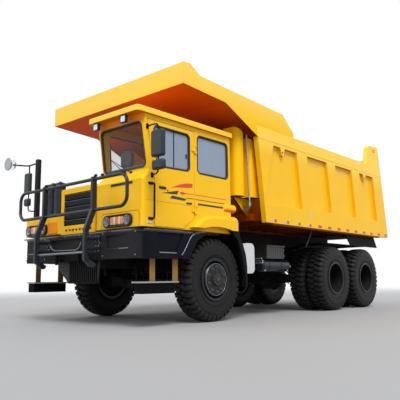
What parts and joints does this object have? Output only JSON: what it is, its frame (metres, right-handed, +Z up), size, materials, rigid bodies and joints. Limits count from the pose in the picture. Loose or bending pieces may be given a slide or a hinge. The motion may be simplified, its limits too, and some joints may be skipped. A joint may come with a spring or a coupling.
{
  "type": "mining dump truck",
  "caption": "Wide-body off-highway mining dump truck: offset cab beside the hood, canopied tipping body, top-hung tailgate, steered front and dual rear wheels.",
  "frame": {"origin": "on the ground, on the truck's centre plane, half way along its length", "axes": "+X to the truck's left (the cab side), -Y to its front, +Z up"},
  "size_m": [3.9479, 8.72, 4.097],
  "materials": {
    "yellow_paint": "gloss",
    "dark_paint": "satin",
    "chassis_paint": "satin",
    "tyre_rubber": "matte",
    "rim_paint": "satin",
    "glass": "gloss",
    "rod_steel": "polished",
    "machined_steel": "satin",
    "cast": "matte",
    "sheet_rubber": "matte",
    "lamp_housing": "gloss",
    "seat_cloth": "matte",
    "dark_plastic": "matte",
    "white_paint": "gloss",
    "grey_plastic": "matte"
  },
  "bodies": {
    "chassis": {"chassis_frame": "chassis_paint", "axles": "cast", "springs": "chassis_paint", "engine_and_gearbox": "cast", "drive_shafts": "chassis_paint", "bumper": "dark_paint", "bull_bar": "dark_paint", "radiator_guard": "dark_paint", "hood": "yellow_paint", "grille": "dark_plastic", "lamps": "lamp_housing", "cab_shell": "yellow_paint", "cab_roof": "yellow_paint", "cab_glass": "glass", "windscreen": "glass", "driver_seat": "seat_cloth", "dashboard": "dark_plastic", "fenders": "yellow_paint", "mud_flaps": "sheet_rubber", "mirrors": "dark_paint", "air_cleaner": "dark_plastic", "steps": "dark_paint", "fuel_tank": "chassis_paint", "hydraulic_tank": "white_paint", "battery_box": "grey_plastic", "air_tank": "chassis_paint", "rear_mudguards": "sheet_rubber", "tail_bar": "chassis_paint"},
    "door": {"left_door": "yellow_paint", "door_glass": "glass"},
    "knuckle_l": {"knuckle_left": "cast"},
    "knuckle_r": {"knuckle_right": "cast"},
    "tie_rod_bar": {"tie_rod": "cast"},
    "wheel_front_l": {"tyre_front_left": "tyre_rubber", "rim_front_left": "rim_paint"},
    "wheel_front_r": {"tyre_front_right": "tyre_rubber", "rim_front_right": "rim_paint"},
    "wheels_middle_l": {"tyres_middle_left": "tyre_rubber", "rims_middle_left": "rim_paint"},
    "wheels_middle_r": {"tyres_middle_right": "tyre_rubber", "rims_middle_right": "rim_paint"},
    "wheels_rear_l": {"tyres_rear_left": "tyre_rubber", "rims_rear_left": "rim_paint"},
    "wheels_rear_r": {"tyres_rear_right": "tyre_rubber", "rims_rear_right": "rim_paint"},
    "dump_bed": {"bed_floor": "yellow_paint", "bed_sides": "yellow_paint", "bed_front_wall": "yellow_paint", "bed_canopy": "yellow_paint", "bed_flaps": "sheet_rubber"},
    "gate": {"tailgate": "yellow_paint"},
    "hoist_outer": {"hoist_barrel": "yellow_paint"},
    "hoist_second": {"hoist_stage_1": "rod_steel"},
    "hoist_third": {"hoist_stage_2": "rod_steel"},
    "hoist_inner": {"hoist_rod": "rod_steel"}
  },
  "joints": [
    {"name": "steer_left", "type": "hinge", "parent": "chassis", "child": "knuckle_l", "pos_m": [1.06, -2.31, 0.684], "axis": [0, 0, 1], "range_deg": [-32, 32]},
    {"name": "steer_right", "type": "hinge", "parent": "chassis", "child": "knuckle_r", "pos_m": [-1.06, -2.31, 0.684], "axis": [0, 0, 1], "range_deg": [-32, 32]},
    {"name": "tie_rod_pivot", "type": "hinge", "parent": "knuckle_l", "child": "tie_rod_bar", "pos_m": [1.06, -2.01, 0.545], "axis": [0, 0, 1], "range_deg": [-32, 32]},
    {"name": "front_left_roll", "type": "hinge", "parent": "knuckle_l", "child": "wheel_front_l", "pos_m": [1.325, -2.31, 0.684], "axis": [1, 0, 0], "continuous": true},
    {"name": "front_right_roll", "type": "hinge", "parent": "knuckle_r", "child": "wheel_front_r", "pos_m": [-1.325, -2.31, 0.684], "axis": [1, 0, 0], "continuous": true},
    {"name": "middle_left_roll", "type": "hinge", "parent": "chassis", "child": "wheels_middle_l", "pos_m": [1.304, 1.54, 0.684], "axis": [1, 0, 0], "continuous": true},
    {"name": "middle_right_roll", "type": "hinge", "parent": "chassis", "child": "wheels_middle_r", "pos_m": [-1.304, 1.54, 0.684], "axis": [1, 0, 0], "continuous": true},
    {"name": "rear_left_roll", "type": "hinge", "parent": "chassis", "child": "wheels_rear_l", "pos_m": [1.304, 3.04, 0.684], "axis": [1, 0, 0], "continuous": true},
    {"name": "rear_right_roll", "type": "hinge", "parent": "chassis", "child": "wheels_rear_r", "pos_m": [-1.304, 3.04, 0.684], "axis": [1, 0, 0], "continuous": true},
    {"name": "bed_lift", "type": "hinge", "parent": "chassis", "child": "dump_bed", "pos_m": [0, 3.74, 1.42], "axis": [-1, 0, 0], "range_deg": [0, 45]},
    {"name": "tailgate_swing", "type": "hinge", "parent": "dump_bed", "child": "gate", "pos_m": [0, 3.78, 3.92], "axis": [1, 0, 0], "range_deg": [0, 60]},
    {"name": "hoist_tilt", "type": "hinge", "parent": "chassis", "child": "hoist_outer", "pos_m": [0, -1.69, 1.15], "axis": [-1, 0, 0], "range_deg": [0, 27.4]},
    {"name": "hoist_slide_1", "type": "slide", "parent": "hoist_outer", "child": "hoist_second", "axis": [0, 0, 1], "range_m": [0, 1.346]},
    {"name": "hoist_slide_2", "type": "slide", "parent": "hoist_second", "child": "hoist_third", "axis": [0, 0, 1], "range_m": [0, 1.346]},
    {"name": "hoist_slide_3", "type": "slide", "parent": "hoist_third", "child": "hoist_inner", "axis": [0, 0, 1], "range_m": [0, 1.346]},
    {"name": "door_swing", "type": "hinge", "parent": "chassis", "child": "door", "pos_m": [1.536, -2.831, 2.3], "axis": [0, 0, 1], "range_deg": [0, 70]}
  ],
  "couplings": [
    {"joint": "steer_right", "follows": "steer_left", "ratio": 1},
    {"joint": "tie_rod_pivot", "follows": "steer_left", "ratio": -1},
    {"joint": "hoist_tilt", "follows": "bed_lift", "ratio": 0.60857},
    {"joint": "hoist_slide_1", "follows": "bed_lift", "m_per_rad": 1.7131},
    {"joint": "hoist_slide_2", "follows": "bed_lift", "m_per_rad": 1.7131},
    {"joint": "hoist_slide_3", "follows": "bed_lift", "m_per_rad": 1.7131}
  ]
}
